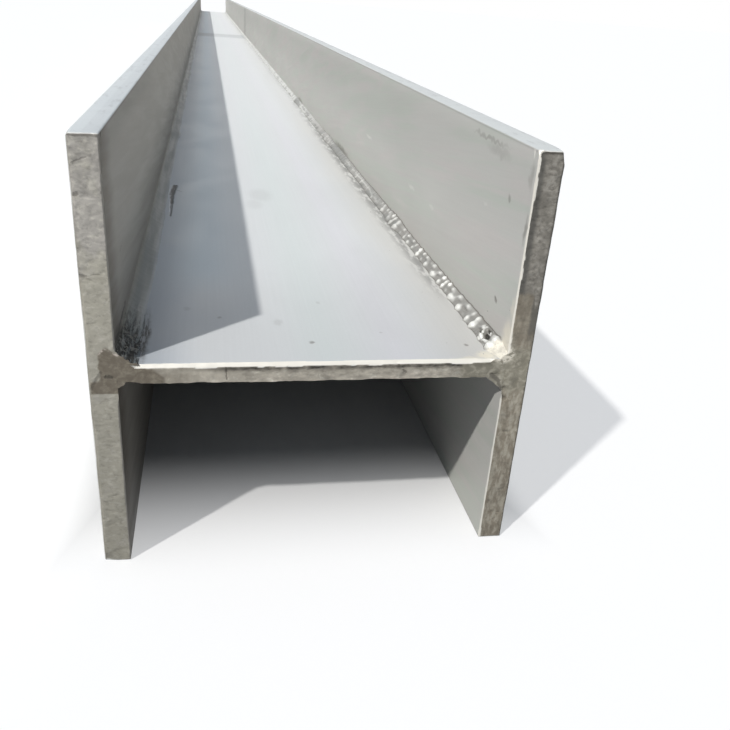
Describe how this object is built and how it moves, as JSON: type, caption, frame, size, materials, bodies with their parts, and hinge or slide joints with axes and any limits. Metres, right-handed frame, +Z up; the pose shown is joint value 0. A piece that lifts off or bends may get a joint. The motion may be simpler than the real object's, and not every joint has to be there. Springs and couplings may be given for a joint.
{
  "type": "steel h-beam",
  "caption": "Welded steel H-section beam: a level web plate between two upright flange plates, fillet welded along each inner corner.",
  "frame": {"origin": "middle of the beam's length and depth, on the plane that the lower flange edges rest on", "axes": "+X across the section from the left flange to the right flange, +Y along the beam from its front end to its rear end, +Z up, square to the web"},
  "size_m": [0.2, 6, 0.2],
  "materials": {
    "web_plate": "pickled bright plate, cool grey, with faint rolling streaks and handling marks",
    "flange_plate": "pickled plate, warm grey with cloudy mottling; rough cut end faces, tan-grey",
    "fillet_weld": "silvery weld metal with coarse ripples, dark along its toes",
    "splice_weld": "weld metal ground flush, dull"
  },
  "bodies": {
    "root": {"web_plate_front": "web_plate", "web_plate_rear": "web_plate", "flange_plate_left_front": "flange_plate", "flange_plate_left_rear": "flange_plate", "flange_plate_right_front": "flange_plate", "flange_plate_right_rear": "flange_plate", "splice_weld_web": "splice_weld", "splice_weld_flange_left": "splice_weld", "splice_weld_flange_right": "splice_weld", "fillet_weld_upper_left": "fillet_weld", "fillet_weld_upper_right": "fillet_weld", "fillet_weld_lower_left": "fillet_weld", "fillet_weld_lower_right": "fillet_weld"}
  },
  "joints": []
}
